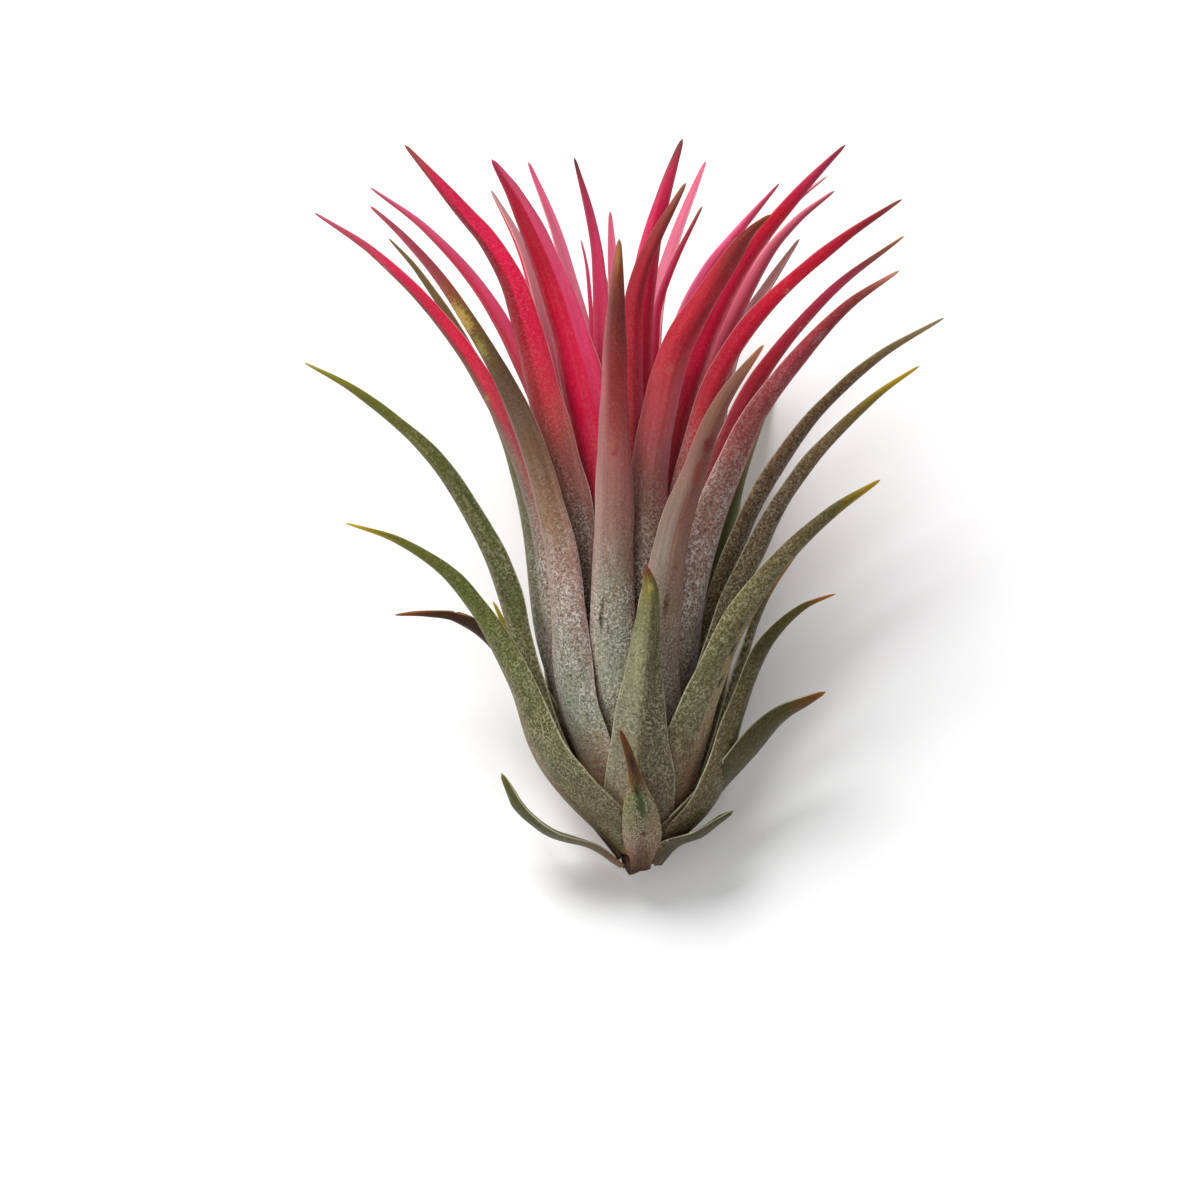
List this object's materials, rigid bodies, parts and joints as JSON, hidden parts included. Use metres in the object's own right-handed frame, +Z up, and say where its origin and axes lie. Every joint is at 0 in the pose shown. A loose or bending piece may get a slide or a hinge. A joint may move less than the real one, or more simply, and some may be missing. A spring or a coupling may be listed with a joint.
{
  "type": "sky plant",
  "caption": "Small air plant as picked, lying on its back: a dense rosette of tapering channelled leaves, silver-green at the foot and crimson at the crown.",
  "frame": {"origin": "middle of the bounding box, on the surface that the plant lies on", "axes": "+Z up off the surface, +Y along the plant from its foot to its crown, +X to the right of a viewer who looks down on it with the crown away"},
  "size_m": [0.0955, 0.1059, 0.0615],
  "materials": {
    "stem": "dry, matte",
    "dry_leaf": "dry, matte",
    "outer_leaf": "matte, scaly",
    "middle_leaf": "matte, scaly",
    "inner_leaf": "satin",
    "back_leaf": "matte, scaly"
  },
  "bodies": {
    "root": {"stem": "stem", "dry_leaf_front": "dry_leaf", "outer_leaf_01": "outer_leaf", "outer_leaf_02": "outer_leaf", "outer_leaf_03": "outer_leaf", "outer_leaf_04": "outer_leaf", "outer_leaf_05": "outer_leaf", "outer_leaf_06": "outer_leaf", "outer_leaf_12": "outer_leaf", "outer_leaf_07": "outer_leaf", "dry_leaf_side": "dry_leaf", "outer_leaf_08": "outer_leaf", "outer_leaf_09": "outer_leaf", "outer_leaf_10": "outer_leaf", "outer_leaf_11": "outer_leaf", "middle_leaf_01": "middle_leaf", "middle_leaf_02": "middle_leaf", "middle_leaf_03": "middle_leaf", "middle_leaf_04": "middle_leaf", "middle_leaf_05": "middle_leaf", "middle_leaf_06": "middle_leaf", "middle_leaf_07": "middle_leaf", "middle_leaf_08": "middle_leaf", "middle_leaf_09": "middle_leaf", "middle_leaf_10": "middle_leaf", "middle_leaf_11": "middle_leaf", "middle_leaf_12": "middle_leaf", "inner_leaf_01": "inner_leaf", "inner_leaf_02": "inner_leaf", "inner_leaf_03": "inner_leaf", "inner_leaf_04": "inner_leaf", "inner_leaf_05": "inner_leaf", "inner_leaf_06": "inner_leaf", "inner_leaf_07": "inner_leaf", "inner_leaf_08": "inner_leaf", "inner_leaf_09": "inner_leaf", "inner_leaf_10": "inner_leaf", "inner_leaf_11": "inner_leaf", "inner_leaf_12": "inner_leaf", "inner_leaf_13": "inner_leaf", "inner_leaf_14": "inner_leaf", "inner_leaf_15": "inner_leaf", "back_leaf_01": "back_leaf", "back_leaf_02": "back_leaf", "back_leaf_03": "back_leaf", "back_leaf_04": "back_leaf", "back_leaf_05": "back_leaf", "back_leaf_06": "back_leaf", "back_leaf_07": "back_leaf", "back_leaf_08": "back_leaf", "back_leaf_09": "back_leaf", "back_leaf_10": "back_leaf", "back_leaf_11": "back_leaf", "back_leaf_12": "back_leaf", "back_leaf_13": "back_leaf", "back_leaf_14": "back_leaf"}
  },
  "joints": []
}
